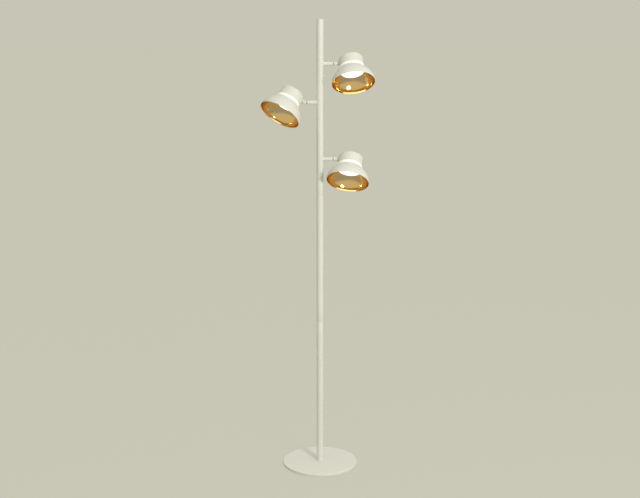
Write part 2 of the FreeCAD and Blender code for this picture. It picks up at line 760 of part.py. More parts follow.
def lamp_holder():
    """Twist-lock holder: hub bore and two keyhole slots over wider chambers."""
    height = holder_top_height - holder_bottom_height
    holder = rod(holder_diameter / 2, height, Z_AXIS * holder_bottom_height)
    holder = holder.cut(rod(holder_hub_bore / 2, holder_hub_depth, Z_AXIS * holder_bottom_height))
    throat = slot_arc(lamp_pin_diameter + 0.6, holder_bottom_height, holder_front_plate)
    chamber = slot_arc(lamp_pin_head_diameter + 0.8, holder_bottom_height + holder_front_plate,
                       holder_chamber_depth)
    end_angle = math.radians(holder_slot_angle)
    entry_place = Vector(lamp_pin_radius * math.cos(end_angle), lamp_pin_radius * math.sin(end_angle),
                         holder_bottom_height)
    entry = rod(lamp_pin_head_diameter / 2 + 0.2, holder_front_plate, entry_place)
    for keyhole_part in (throat, chamber, entry):
        for cut in around_z(keyhole_part, 2):
            holder = holder.cut(cut)
    for place in holder_screw_places():
        bottom = place + Z_AXIS * holder_bottom_height
        holder = holder.cut(rod(holder_screw_diameter / 2 + hole_play, height, bottom))
        head_pocket_depth = holder_screw_head_height + 1
        holder = holder.cut(rod(holder_screw_head_diameter / 2 + hole_play, head_pocket_depth, bottom))
    return holder


def holder_screw(place):
    """Pan-head screw through the holder into a standoff of the cap."""
    seat = place + Z_AXIS * (holder_bottom_height + holder_screw_head_height + 1)
    head = rod(holder_screw_head_diameter / 2, holder_screw_head_height, seat, -Z_AXIS)
    shank = rod(holder_screw_diameter / 2, holder_top_height + holder_screw_grip - seat.z, seat)
    return head.fuse(shank)


def head_lead():
    """Lead inside the cap, from the tongue's foot over to the back of the holder."""
    wall_x = -cap_side_radius(pivot_above_ring)
    gap_x = -(holder_diameter / 2 + lead_diameter / 2 + 0.8)
    points = [
        Vector(wall_x - tongue_foot_thickness, 0, pivot_above_ring),
        Vector(gap_x, 0, pivot_above_ring),
        Vector(gap_x, 0, lead_run_height),
        Vector(-lead_entry_radius, 0, lead_run_height),
        Vector(-lead_entry_radius, 0, holder_top_height + contact),
    ]
    return cable(points, lead_diameter / 2, lead_bend_radius)


# ---- assembly --------------------------------------------------------------------

def arm_placement(head):
    """From the arm's own frame to the lamp's: up the pole, and round it for the left side."""
    turn = 0 if head["side"] > 0 else 180
    return Placement(Vector(0, 0, head["height"]), Rotation(Z_AXIS, turn))


def fork_placement(head):
    """The arm's frame, with the fork turned about the arm's axis."""
    tilt = Placement(ORIGIN, Rotation(X_AXIS, -head["side"] * head["tilt"]))
    return arm_placement(head).multiply(tilt)


def head_placement(head):
    """The fork's frame, with the head swung about the hinge screw."""
    to_pivot = Placement(Vector(pivot_from_pole_axis, 0, 0), Rotation(Y_AXIS, -head["swing"]))
    from_head = Placement(head_pivot() * -1, Rotation())
    return fork_placement(head).multiply(to_pivot).multiply(from_head)


def placed(shape, placement):
    copy = shape.copy()
    copy.Placement = placement.multiply(copy.Placement)
    return copy


def stand_nodes():
    """Nodes that stand still: base, pole, arms and what they hold."""
    nodes = {
        "base_plate": base_plate(),
        "base_pad": base_pad(),
        "outlet_bush": outlet_bush(),
        "pole_foot_plug": foot_plug(),
        "foot_screws": Part.makeCompound([foot_screw(place) for place in foot_screw_places()]),
        "pole_lower_tube": pole_section(base_top, pole_section_joints[0]),
        "pole_middle_tube": pole_section(pole_section_joints[0], pole_section_joints[1]),
        "pole_upper_tube": upper_pole(),
        "pole_couplers": Part.makeCompound([pole_coupler(height) for height in pole_section_joints]),
        "pole_top_cap": pole_top_cap(),
        "pole_wiring": pole_wiring(),
    }
    boss = arm_boss()
    screw = stop_screw()
    arm = arm_tube()
    nodes["arm_bosses"] = Part.makeCompound([placed(boss, arm_placement(head)) for head in HEADS.values()])
    nodes["swivel_stop_screws"] = Part.makeCompound(
        [placed(screw, arm_placement(head)) for head in HEADS.values()])
    for name, head in HEADS.items():
        nodes[name + "_arm"] = placed(arm, arm_placement(head))
    return nodes


def knuckle_nodes():
    """Nodes that turn with the fork about the arm's axis."""
    pieces = {
        "swivel_fork": swivel_fork(),
        "hinge_screw": hinge_screw(),
        "friction_washers": friction_washers(),
    }
    return {name + "_" + piece: placed(shape, fork_placement(head))
            for name, head in HEADS.items() for piece, shape in pieces.items()}


def spot_nodes():
    """Nodes that swing with the spot head."""
    pieces = {
        "hinge_tongue": hinge_tongue(),
        "tongue_screws": Part.makeCompound([tongue_screw(place) for place in tongue_screw_places()]),
        "cap_housing": cap_housing(),
        "lamp_holder": lamp_holder(),
        "holder_screws": Part.makeCompound([holder_screw(place) for place in holder_screw_places()]),
        "head_lead": head_lead(),
        "light_ring": bright_ring(),
        "outer_bowl": outer_bowl(),
        "reflector": reflector(),
        "lamp_body": lamp_body(),
        "lamp_cover": lamp_cover(),
    }
    return {name + "_" + piece: placed(shape, head_placement(head))
            for name, head in HEADS.items() for piece, shape in pieces.items()}


def main():
    os.makedirs("parts", exist_ok=True)
    for nodes in (stand_nodes(), knuckle_nodes(), spot_nodes()):
        for name, shape in nodes.items():
            shape.exportStep(os.path.join("parts", name + ".step"))


main()
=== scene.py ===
import json
import math

import bpy
import numpy as np
from bpy.props import FloatProperty, FloatVectorProperty, IntProperty, PointerProperty
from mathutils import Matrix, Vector


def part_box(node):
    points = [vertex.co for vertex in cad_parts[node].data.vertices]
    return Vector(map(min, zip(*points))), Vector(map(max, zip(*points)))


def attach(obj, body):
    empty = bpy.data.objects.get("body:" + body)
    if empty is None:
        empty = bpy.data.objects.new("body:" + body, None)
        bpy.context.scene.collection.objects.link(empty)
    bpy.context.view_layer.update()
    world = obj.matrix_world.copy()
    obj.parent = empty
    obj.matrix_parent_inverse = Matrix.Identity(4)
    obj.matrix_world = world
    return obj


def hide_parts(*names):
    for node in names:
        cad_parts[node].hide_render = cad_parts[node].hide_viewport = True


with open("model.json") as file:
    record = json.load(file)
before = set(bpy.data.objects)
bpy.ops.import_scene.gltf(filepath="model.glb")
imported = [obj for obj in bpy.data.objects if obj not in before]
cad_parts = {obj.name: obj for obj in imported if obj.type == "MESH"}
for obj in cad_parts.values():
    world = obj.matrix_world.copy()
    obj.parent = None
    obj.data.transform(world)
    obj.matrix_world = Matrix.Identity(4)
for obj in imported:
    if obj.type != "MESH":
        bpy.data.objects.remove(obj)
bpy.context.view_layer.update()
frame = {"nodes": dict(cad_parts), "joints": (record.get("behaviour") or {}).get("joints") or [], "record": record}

bl_info = {
    "name": "Floor lamp with three spot heads",
    "version": (1, 0, 0),
    "blender": (4, 5, 0),
    "location": "3D View > Sidebar > Floor lamp",
    "description": "Dresses a pole lamp: powder-coated shells, gold reflectors and bright rings",
    "category": "Object",
}

HEAD_NAMES = ("upper", "middle", "lower")
MM = 0.001

# outward limit of the hinges, in degrees from a head that hangs straight down
SWING_LIMIT = 75.0


# ---- colours and materials -------------------------------------------------------

def linear(hex_colour):
    """Linear RGBA of an sRGB hex colour, by the standard's two-part curve."""
    values = np.array([int(hex_colour[i:i + 2], 16) for i in (1, 3, 5)]) / 255.0
    values = np.where(values <= 0.04045, values / 12.92, ((values + 0.055) / 1.055) ** 2.4)
    return (*values.tolist(), 1.0)


def add_node(tree, kind, inputs=None, links=None, **attributes):
    """Adds a node, sets its attributes and input values, and links sources to its inputs."""
    node = tree.nodes.new(kind)
    for name, value in attributes.items():
        setattr(node, name, value)
    for key, value in (inputs or {}).items():
        node.inputs[key].default_value = value
    for key, source in (links or {}).items():
        tree.links.new(source, node.inputs[key])
    return node


def new_material(name):
    material = bpy.data.materials.new(name)
    material.use_nodes = True
    material.node_tree.nodes.clear()
    return material, material.node_tree


def finish_material(tree, shader):
    add_node(tree, "ShaderNodeOutputMaterial", links={"Surface": shader.outputs[0]})


def powder_coat(name, colour, shade, grain):
    """Fine-texture polyester powder coat, baked on steel.

    It gives the eye an even, warm white with a soft sheen that never mirrors, and a
    very faint sand-like grain, drawn coarser than the 0.3 mm or so that such coats have.
    """
    material, tree = new_material(name)
    place = add_node(tree, "ShaderNodeTexCoord").outputs["Object"]
    cloud = add_node(tree, "ShaderNodeTexNoise", {"Scale": 1 / (45 * MM), "Detail": 3.0}, {"Vector": place})
    tint = add_node(tree, "ShaderNodeMix", {"A": colour, "B": shade}, {"Factor": cloud.outputs["Fac"]},
                    data_type="RGBA")
    sand = add_node(tree, "ShaderNodeTexNoise", {"Scale": 1 / grain, "Detail": 2.0, "Roughness": 0.6},
                    {"Vector": place})
    rough = add_node(tree, "ShaderNodeMapRange", {"To Min": 0.46, "To Max": 0.62},
                     {"Value": sand.outputs["Fac"]})
    bump = add_node(tree, "ShaderNodeBump", {"Strength": 0.04, "Distance": 0.1 * MM},
                    {"Height": sand.outputs["Fac"]})
    shader = add_node(tree, "ShaderNodeBsdfPrincipled", {"IOR": 1.5},
                      {"Base Color": tint.outputs["Result"], "Roughness": rough.outputs["Result"],
                       "Normal": bump.outputs["Normal"]})
    finish_material(tree, shader)
    return material


def gold_anodised(name, colour, painted_shade_colour):
    """Spun aluminium, polished and gold anodised.

    It gives the eye a deep, warm mirror with the faintest unevenness left by polishing.
    Its colour turns darker and redder where the surface is seen at a low angle: a painted
    shade that stands in for light bouncing again and again inside the bowl.
    """
    material, tree = new_material(name)
    place = add_node(tree, "ShaderNodeTexCoord").outputs["Object"]
    # painted shade: the colour is mixed towards the darker, redder one as the surface turns away from the view
    edge = add_node(tree, "ShaderNodeLayerWeight", {"Blend": 0.35})
    tint = add_node(tree, "ShaderNodeMix", {"A": colour, "B": painted_shade_colour},
                    {"Factor": edge.outputs["Facing"]}, data_type="RGBA")
    cloud = add_node(tree, "ShaderNodeTexNoise", {"Scale": 1 / (18 * MM), "Detail": 2.0}, {"Vector": place})
    rough = add_node(tree, "ShaderNodeMapRange", {"To Min": 0.06, "To Max": 0.13},
                     {"Value": cloud.outputs["Fac"]})
    bump = add_node(tree, "ShaderNodeBump", {"Strength": 0.015, "Distance": 0.2 * MM},
                    {"Height": cloud.outputs["Fac"]})
    shader = add_node(tree, "ShaderNodeBsdfPrincipled", {"Metallic": 1.0},
                      {"Base Color": tint.outputs["Result"], "Roughness": rough.outputs["Result"],
                       "Normal": bump.outputs["Normal"]})
    finish_material(tree, shader)
    return material


def emissive_acrylic(name, colour, glow, strength):
    """Frosted acrylic, moulded, shining by emission: the lamp's own light on its cover, and a painted glow on the
    ring, which no lamp lights.

    It gives the eye an even warm-white glow with a satin skin, a touch cloudy.
    """
    material, tree = new_material(name)
    place = add_node(tree, "ShaderNodeTexCoord").outputs["Object"]
    cloud = add_node(tree, "ShaderNodeTexNoise", {"Scale": 1 / (9 * MM), "Detail": 2.0}, {"Vector": place})
    level = add_node(tree, "ShaderNodeMapRange", {"To Min": 0.94 * strength, "To Max": 1.06 * strength},
                     {"Value": cloud.outputs["Fac"]})
    shader = add_node(tree, "ShaderNodeBsdfPrincipled",
                      {"Base Color": colour, "Roughness": 0.38, "IOR": 1.49, "Emission Color": glow},
                      {"Emission Strength": level.outputs["Result"]})
    finish_material(tree, shader)
    return material


def moulded_plastic(name, colour, roughness, grain):
    """Injection-moulded plastic with a fine spark-eroded skin.

    It gives the eye a plain colour with a soft highlight broken up by the skin.
    """
    material, tree = new_material(name)
    place = add_node(tree, "ShaderNodeTexCoord").outputs["Object"]
    skin = add_node(tree, "ShaderNodeTexNoise", {"Scale": 1 / grain, "Detail": 2.0}, {"Vector": place})
    rough = add_node(tree, "ShaderNodeMapRange", {"To Min": roughness - 0.05, "To Max": roughness + 0.08},
                     {"Value": skin.outputs["Fac"]})
    bump = add_node(tree, "ShaderNodeBump", {"Strength": 0.15, "Distance": 0.05 * MM},
                    {"Height": skin.outputs["Fac"]})
    shader = add_node(tree, "ShaderNodeBsdfPrincipled", {"Base Color": colour, "IOR": 1.5},
                      {"Roughness": rough.outputs["Result"], "Normal": bump.outputs["Normal"]})
    finish_material(tree, shader)
    return material


def zinc_plated(name, colour):
    """Turned steel, bright zinc plated.

    It gives the eye a cool grey metal with cloudy plating.
    """
    material, tree = new_material(name)
    place = add_node(tree, "ShaderNodeTexCoord").outputs["Object"]
    cloud = add_node(tree, "ShaderNodeTexNoise", {"Scale": 1 / (2 * MM), "Detail": 4.0}, {"Vector": place})
    rough = add_node(tree, "ShaderNodeMapRange", {"To Min": 0.24, "To Max": 0.42},
                     {"Value": cloud.outputs["Fac"]})
    shader = add_node(tree, "ShaderNodeBsdfPrincipled", {"Base Color": colour, "Metallic": 1.0},
                      {"Roughness": rough.outputs["Result"]})
    finish_material(tree, shader)
    return material


class FloorLampColours(bpy.types.PropertyGroup):
    coat: FloatVectorProperty(
        name="Coat", description="Powder coat of the pole, base and shells", subtype="COLOR", size=4,
        default=linear("#E6E5DE"), min=0, max=1)
    coat_shade: FloatVectorProperty(
        name="Coat shade", description="Faint darker cloud in the powder coat", subtype="COLOR", size=4,
        default=linear("#E0DFD7"), min=0, max=1)
    gold: FloatVectorProperty(
        name="Gold", description="Reflector seen straight on", subtype="COLOR", size=4,
        default=linear("#EDC98A"), min=0, max=1)
    # painted shade of the reflector, mixed in where it is seen at a low angle
    gold_painted_shade: FloatVectorProperty(
        name="Deep gold", description="Reflector at a low angle", subtype="COLOR", size=4,
        default=linear("#E4B064"), min=0, max=1)
    acrylic: FloatVectorProperty(
        name="Acrylic", description="Frosted acrylic of the ring and the lamp's cover", subtype="COLOR",
        size=4, default=linear("#F5F4EC"), min=0, max=1)
    # light in the acrylic: the lamp's own on its cover, a painted glow on the ring
    glow: FloatVectorProperty(
        name="Glow", description="Light through the acrylic", subtype="COLOR", size=4,
        default=linear("#FFFDF2"), min=0, max=1)
    plastic: FloatVectorProperty(
        name="White plastic", description="Lamp rim, holder and washers", subtype="COLOR", size=4,
        default=linear("#EDEDE8"), min=0, max=1)
    # zinc: on the forks' necks it also stands partly as painted shade for the gap between arm and fork
    zinc: FloatVectorProperty(
        name="Zinc", description="Plated screws, fork necks, bushes and couplers", subtype="COLOR", size=4,
        default=linear("#B9BAB6"), min=0, max=1)
    rubber: FloatVectorProperty(
        name="Rubber", description="Outlet bush and anti-slip pad", subtype="COLOR", size=4,
        default=linear("#2B2B2A"), min=0, max=1)
    background: FloatVectorProperty(
        name="Background", description="Floor and backdrop as the camera sees them", subtype="COLOR",
        size=4, default=linear("#C8C6B6"), min=0, max=1)
    floor_below: FloatVectorProperty(
        name="Floor below", description="Studio floor below the lamp, seen only by glossy rays",
        subtype="COLOR", size=4, default=linear("#A8A294"), min=0, max=1)
    floor_forward: FloatVectorProperty(
        name="Floor forward", description="Studio floor further forward, seen only by glossy rays",
        subtype="COLOR", size=4, default=linear("#98A2B0"), min=0, max=1)


class FloorLampSizes(bpy.types.PropertyGroup):
    segments: IntProperty(
        name="Segments", description="Steps round each turned piece", default=128, min=24, max=512)
    grain: FloatProperty(
        name="Coat grain", description="Size of the powder coat's grain as drawn", unit="LENGTH",
        default=1.1 * MM, min=0.2 * MM, max=5 * MM)
    soft_edge: FloatProperty(
        name="Soft edge", description="Radius of the coated sheet's edges", unit="LENGTH",
        default=0.45 * MM, min=0.05 * MM, max=2 * MM)
    cap_edge: FloatProperty(
        name="Cap edge", description="Radius of the cap's rounded top edge", unit="LENGTH",
        default=7.0 * MM, min=1 * MM, max=15 * MM)
    cap_wall: FloatProperty(
        name="Cap wall", description="Thickness of the cap's side", unit="LENGTH",
        default=1.6 * MM, min=0.5 * MM, max=3 * MM)
    bowl_wall: FloatProperty(
        name="Bowl wall", description="Thickness of the spun bowl", unit="LENGTH",
        default=1.3 * MM, min=0.5 * MM, max=3 * MM)
    pole_wall: FloatProperty(
        name="Pole wall", description="Thickness of the pole's tube", unit="LENGTH",
        default=1.5 * MM, min=0.5 * MM, max=4 * MM)
    # the ring's painted glow: it shines by emission, though no lamp in the scene lights it
    ring_painted_glow: FloatProperty(
        name="Ring glow", description="Brightness of the ring", default=0.2, min=0, max=5)
    lamp_glow: FloatProperty(
        name="Lamp glow", description="Brightness of the lamp's cover", default=1.5, min=0, max=10)


def sizes():
    return bpy.context.scene.floor_lamp_sizes


def colours():
    return bpy.context.scene.floor_lamp_colours


def material(name):
    """The material of that name, made when it is first asked for."""
    if name in bpy.data.materials:
        return bpy.data.materials[name]
    tint = colours()
    makers = {
        "powder_coated_steel": lambda: powder_coat(name, tint.coat, tint.coat_shade, sizes().grain),
        "gold_anodised_aluminium": lambda: gold_anodised(name, tint.gold, tint.gold_painted_shade),
        # the ring's acrylic glows by emission: a painted glow
        "ring_acrylic_painted_glow": lambda: emissive_acrylic(name, tint.acrylic, tint.glow, sizes().ring_painted_glow),
        "lit_cover_acrylic": lambda: emissive_acrylic(name, tint.acrylic, tint.glow, sizes().lamp_glow),
        "moulded_white_plastic": lambda: moulded_plastic(name, tint.plastic, 0.4, 0.8 * MM),
        "moulded_black_rubber": lambda: moulded_plastic(name, tint.rubber, 0.75, 1.0 * MM),
        "zinc_plated_steel": lambda: zinc_plated(name, tint.zinc),
    }
    return makers[name]()


# ---- places read from the frame ----------------------------------------------------

def joint(name):
    return next(j for j in frame["joints"] if j["name"] == name)


def unit(vector):
    vector = np.array(vector, float)
    return vector / np.linalg.norm(vector)


def turn_about_y(angle):
    cosine, sine = math.cos(angle), math.sin(angle)
    return np.array([[cosine, 0, sine], [0, 1, 0], [-sine, 0, cosine]])


def head_axes(name):
    """Pivot point, and the head's own axes as columns: out from the pole, across, and up.

    The fork's axes are the arm, the hinge line and their cross product. The head is
    swung in them by the part of the hinge's outward travel that the rest pose uses.
    """
    swivel = joint(name + "_swivel")
    hinge = joint(name + "_hinge")
    along = unit(swivel["axis"])
    across = -unit(hinge["axis"])
    fork = np.stack([along, across, np.cross(along, across)], axis=1)
    swing = math.radians(SWING_LIMIT - hinge["range_deg"][1])
    return np.array(hinge["pos_m"]), fork @ turn_about_y(-swing)


def node_points(node):
    data = frame["nodes"][node].data
    points = np.zeros(len(data.vertices) * 3, np.float32)
    data.vertices.foreach_get("co", points)
    return points.reshape(-1, 3).astype(float)


class HeadPlace:
    """Where a head is: its axis, and how its CAD nodes measure along and round that axis."""

    def __init__(self, name):
        self.name = name
        self.pivot, self.axes = head_axes(name)
        ring = (node_points(name + "_light_ring") - self.pivot) @ self.axes
        self.centre = (ring.min(0) + ring.max(0)) / 2

    def measure(self, piece):
        """Largest radius, lowest and highest point of a node, about the ring's middle."""
        local = (node_points(self.name + "_" + piece) - self.pivot) @ self.axes - self.centre
        radius = np.hypot(local[:, 0], local[:, 1])
        return radius.max(), local[:, 2].min(), local[:, 2].max()

    def to_lamp(self, points):
        return (points + self.centre) @ self.axes.T + self.pivot


# ---- surfaces ------------------------------------------------------------------------

def rounded(corners, steps=6):
    """Profile through corners given as (radius, height, rounding).

    Each rounded corner becomes a run of points on the circle tangent to both sides:
    centre on the corner's bisector, at rounding over the sine of the half angle.
    """
    corners = [np.array(c, float) for c in corners]
    points = []
    for number, corner in enumerate(corners):
        place, rounding = corner[:2], corner[2]
        if rounding <= 0:
            points.append(place)
            continue
        before = unit(corners[number - 1][:2] - place)
        after = unit(corners[(number + 1) % len(corners)][:2] - place)
        half = math.acos(np.clip(before @ after, -1, 1)) / 2
        setback = rounding / math.tan(half)
        start, end = place + before * setback, place + after * setback
        centre = place + unit(before + after) * rounding / math.sin(half)
        first, last = start - centre, end - centre
        sweep = math.pi - 2 * half
        share = np.linspace(0, 1, steps + 1)[:, None]
        arc = (np.sin((1 - share) * sweep) * first + np.sin(share * sweep) * last) / math.sin(sweep)
        points.extend(centre + arc)
    return np.array(points)


def cubic(poles, steps):
    """Points of a cubic curve: the four poles weighted by the Bernstein terms."""
    t = np.linspace(0, 1, steps)[:, None]
    weights = ((1 - t) ** 3, 3 * t * (1 - t) ** 2, 3 * t ** 2 * (1 - t), t ** 3)
    return sum(weight * pole for weight, pole in zip(weights, poles))


def resampled(profile, spacing, closed):
    """The profile with long straight sides split, so that no step is over the spacing."""
    ends = np.roll(profile, -1, axis=0) if closed else profile[1:]
    starts = profile if closed else profile[:-1]
    runs = []
    for start, end in zip(starts, ends):
        count = max(1, int(np.ceil(np.linalg.norm(end - start) / spacing)))
        runs.append(start + (end - start) * np.arange(count)[:, None] / count)
    if not closed:
        runs.append(profile[-1:])
    return np.concatenate(runs)


def grid_faces(rows, columns, rows_closed):
    """Quads of a grid whose columns close on themselves, and whose rows may."""
    row = np.arange(rows if rows_closed else rows - 1)[:, None]
    column = np.arange(columns)[None, :]
    next_row = (row + 1) % rows
    next_column = (column + 1) % columns
    quads = np.stack([row * columns + column, row * columns + next_column,
                      next_row * columns + next_column, next_row * columns + column], axis=-1)
    return quads.reshape(-1, 4)


def mesh_piece(name, points, faces, sharp_angle=32.0):
    """Mesh object at the origin, faces outward: the order is turned if the volume is negative."""
    corners = points[np.array([face[:3] for face in faces])]
    volume = np.einsum("ij,ij->i", corners[:, 0], np.cross(corners[:, 1], corners[:, 2])).sum()
    quads = np.array([face for face in faces if len(face) == 4])
    if len(quads):
        second = points[quads[:, [0, 2, 3]]]
        volume += np.einsum("ij,ij->i", second[:, 0], np.cross(second[:, 1], second[:, 2])).sum()
    if volume < 0:
        faces = [face[::-1] for face in faces]
    data = bpy.data.meshes.new(name)
    data.from_pydata(points.tolist(), [], faces)
    data.polygons.foreach_set("use_smooth", np.ones(len(data.polygons), bool))
    data.set_sharp_from_angle(angle=math.radians(sharp_angle))
    data.validate()
    piece = bpy.data.objects.new(name, data)
    bpy.context.scene.collection.objects.link(piece)
    return piece


def lathe(name, profile, place, closed=True, sharp_angle=32.0):
    """Turned piece: each profile point (radius, height) is carried round a circle.

    x = radius cos(angle), y = radius sin(angle), z = height; place maps it to the lamp.
    An open profile starts and ends on the axis, where each end is a single point.
    """
    segments = sizes().segments
    angle = np.arange(segments) * 2 * math.pi / segments
    body = profile if closed else profile[1:-1]
    ring = np.stack([np.cos(angle), np.sin(angle)], axis=1)
    points = np.zeros((len(body), segments, 3))
    points[..., :2] = body[:, 0, None, None] * ring
    points[..., 2] = body[:, 1, None]
    points = points.reshape(-1, 3)
    faces = grid_faces(len(body), segments, closed).tolist()
    if not closed:
        first, last = len(points), len(points) + 1
        step = np.arange(segments)
        after = (step + 1) % segments
        final = (len(body) - 1) * segments
        faces += np.stack([after, step, np.full(segments, first)], axis=1).tolist()
        faces += np.stack([step + final, after + final, np.full(segments, last)], axis=1).tolist()
        ends = np.array([[0, 0, profile[0, 1]], [0, 0, profile[-1, 1]]])
        points = np.concatenate([points, ends])
    return mesh_piece(name, place(points), faces, sharp_angle)


def seat(piece, body, slot, finish, *nodes):
    """Gives a new piece its finish and body, and hides the nodes it stands for. The slot it is given is not used.
    """
    piece.data.materials.append(material(finish))
    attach(piece, body)
    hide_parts(*nodes)
    return piece


# ---- pieces ----------------------------------------------------------------------------

class FLOORLAMP_OT_pole(bpy.types.Operator):
    """Three pole tubes and the flat top cap, turned with slightly soft ends"""
    bl_idname = "floor_lamp.pole"
    bl_label = "Pole"

    def execute(self, context):
        soft = 0.25 * MM
        cap_soft = 0.5 * MM
        plug_play = 0.1 * MM
        longest_side = 60 * MM
        for name in ("pole_lower_tube", "pole_middle_tube", "pole_upper_tube"):
            low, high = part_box(name)
            outer = high.x
            inner = outer - sizes().pole_wall
            corners = [(inner, low.z, 0), (outer, low.z, soft), (outer, high.z, soft), (inner, high.z, 0)]
            profile = resampled(rounded(corners, 3), longest_side, True)
            piece = lathe(name.replace("tube", "sleeve"), profile, lambda p: p)
            seat(piece, "stand", "white_powder_coat", "powder_coated_steel", name)
        low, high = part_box("pole_top_cap")
        tube_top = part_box("pole_upper_tube")[1].z
        plug = high.x - sizes().pole_wall - plug_play
        corners = [(0, high.z, 0), (high.x, high.z, cap_soft), (high.x, tube_top, 0),
                   (plug, tube_top, 0), (plug, low.z, 0), (0, low.z, 0)]
        piece = lathe("pole_end_cap", rounded(corners, 4), lambda p: p, closed=False)
        seat(piece, "stand", "white_powder_coat", "powder_coated_steel", "pole_top_cap")
        return {"FINISHED"}


class FLOORLAMP_OT_arms(bpy.types.Operator):
    """Three short arms, coped to the pole and softened at the knuckle"""
    bl_idname = "floor_lamp.arms"
    bl_label = "Arms"

    def execute(self, context):
        pole_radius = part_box("pole_upper_tube")[1].x
        for name in HEAD_NAMES:
            low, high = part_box(name + "_arm")
            side = 1 if high.x > 0 else -1
            height = (low.z + high.z) / 2
            reach = max(abs(low.x), abs(high.x))
            outer = (high.z - low.z) / 2
            piece = self.arm(name + "_arm_sleeve", pole_radius, outer, reach, side, height)
            seat(piece, "stand", "white_powder_coat", "powder_coated_steel", name + "_arm")
        return {"FINISHED"}

    def arm(self, name, pole_radius, outer, reach, side, height):
        """Tube along X whose near end follows the pole.

        A station at radius r and angle a has y = r cos(a) and z = r sin(a); at the pole
        x is the root of the pole's radius squared less y squared, and further out it is
        the station's own distance.
        """
        wall = 2.5 * MM
        bore_soft = 0.2 * MM
        bore = outer - wall
        stations = rounded([(bore, 0, 0), (outer, 0, 0), (outer, reach, sizes().soft_edge),
                            (bore, reach, bore_soft)], 5)
        at_pole = stations[:, 1] <= 0
        segments = sizes().segments
        angle = np.arange(segments) * 2 * math.pi / segments
        y = stations[:, 0, None] * np.cos(angle)
        z = stations[:, 0, None] * np.sin(angle)
        x = np.where(at_pole[:, None], np.sqrt(pole_radius ** 2 - y ** 2), stations[:, 1, None])
        points = np.stack([side * x, y, z + height], axis=-1).reshape(-1, 3)
        return mesh_piece(name, points, grid_faces(len(stations), segments, True).tolist())


class FLOORLAMP_OT_caps(bpy.types.Operator):
    """Cap housings: a slightly tapered cup with a soft top edge"""
    bl_idname = "floor_lamp.caps"
    bl_label = "Caps"

    def execute(self, context):
        wall = sizes().cap_wall
        edge = sizes().cap_edge
        soft = sizes().soft_edge
        taper = 0.8 * MM
        longest_side = 8 * MM
        for name in HEAD_NAMES:
            place = HeadPlace(name)
            radius, bottom, top = place.measure("cap_housing")
            corners = [(0, top, 0), (radius - taper, top, edge), (radius, bottom, soft),
                       (radius - wall, bottom, soft), (radius - taper - wall, top - wall, edge - wall),
                       (0, top - wall, 0)]
            profile = resampled(rounded(corners, 10), longest_side, False)
            piece = lathe(name + "_cap_shell", profile, place.to_lamp, closed=False)
            seat(piece, name + "_head", "white_shell_coat", "powder_coated_steel", name + "_cap_housing")
        return {"FINISHED"}


class FLOORLAMP_OT_rings(bpy.types.Operator):
    """Bright rings between cap and bowl, with a spigot at each end; their brightness is a painted glow"""
    bl_idname = "floor_lamp.rings"
    bl_label = "Bright rings"

    def execute(self, context):
        step = 1.75 * MM
        spigot = 3.0 * MM
        wall = 3.9 * MM
        soft = 0.3 * MM
        longest_side = 2 * MM
        for name in HEAD_NAMES:
            place = HeadPlace(name)
            radius, bottom, top = place.measure("light_ring")
            inner = radius - wall
            corners = [(inner, bottom, 0), (radius - step, bottom, 0), (radius - step, bottom + spigot, 0),
                       (radius, bottom + spigot, soft), (radius, top - spigot, soft),
                       (radius - step, top - spigot, 0), (radius - step, top, 0), (inner, top, 0)]
            profile = resampled(rounded(corners, 4), longest_side, True)
            piece = lathe(name + "_bright_ring", profile, place.to_lamp)
            # painted glow: the ring's acrylic shines by emission
            seat(piece, name + "_head", "frosted_acrylic", "ring_acrylic_painted_glow", name + "_light_ring")
        return {"FINISHED"}


# the bowl's profile: angles off the axis, the cubic's two handles, and the straight ends
DOME_NECK_ANGLE = 62
DOME_LIP_ANGLE = 4
DOME_NECK_HANDLE = 16 * MM
DOME_LIP_HANDLE = 17 * MM
LIP_LENGTH = 5 * MM
NECK_LENGTH = 3 * MM


def slope(degrees):
    """Direction down the profile, as radius and height, at an angle off the axis."""
    return np.array([math.sin(math.radians(degrees)), -math.cos(math.radians(degrees))])


def dome(radius, neck, mouth, depth, inset, steps):
    """Profile of the dome, from the neck down to the mouth, ending in a short straight lip.

    Both handles shorten by half of the inset. The lip mirrors the lamp's cover. The model's
    own bowl has no lip and ends 6 degrees off the axis; the two stay within 1.3 mm.
    """
    leave, arrive = slope(DOME_NECK_ANGLE), slope(DOME_LIP_ANGLE)
    start = np.array([radius, neck]) + np.array([leave[1], -leave[0]]) * inset
    end = np.array([mouth - inset, depth + LIP_LENGTH])
    poles = [start, start + leave * (DOME_NECK_HANDLE - inset / 2),
             end - arrive * (DOME_LIP_HANDLE - inset / 2), end]
    lip = [[mouth - inset, depth + LIP_LENGTH / 2], [mouth - inset, depth]]
    return np.concatenate([cubic(poles, steps), lip])


